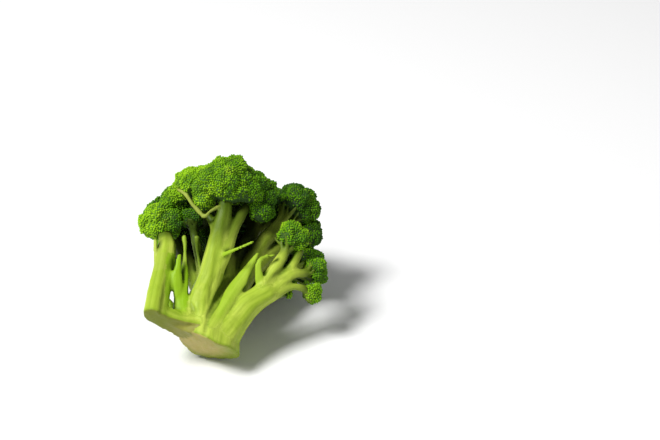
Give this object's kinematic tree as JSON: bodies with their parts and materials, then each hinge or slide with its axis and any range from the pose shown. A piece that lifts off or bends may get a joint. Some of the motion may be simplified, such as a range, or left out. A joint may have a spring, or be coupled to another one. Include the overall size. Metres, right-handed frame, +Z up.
{
  "type": "broccoli head",
  "caption": "Cut broccoli head lying on its side: a short branched stalk with a knife-cut end that opens into a lobed crown of budded florets.",
  "frame": {"origin": "centre of the bounding box at the height of the surface that the head lies on", "axes": "+Z up, -Y towards the cut end of the stalk, +Y towards the crown, +X to the right when looking at the cut end"},
  "size_m": [0.1324, 0.1554, 0.122],
  "materials": {
    "stalk": "pale yellow-green plant flesh, smooth and slightly waxy, with a tan cut face",
    "florets": "tight matte flower buds, dark green with yellower tips"
  },
  "bodies": {
    "root": {"stalk": "stalk", "floret_left": "florets", "floret_left_inner": "florets", "floret_top_left": "florets", "floret_top": "florets", "floret_top_right": "florets", "floret_rear_right": "florets", "floret_rear_low": "florets", "floret_right_upper": "florets", "floret_right_middle": "florets", "floret_right_lower": "florets", "floret_right_tiny": "florets", "floret_middle": "florets", "floret_middle_low": "florets", "floret_back_left": "florets", "floret_side_upper": "florets", "floret_side_lower": "florets", "floret_low_left": "florets", "floret_low_middle": "florets", "floret_low_right": "florets", "floret_side_right": "florets"}
  },
  "joints": []
}
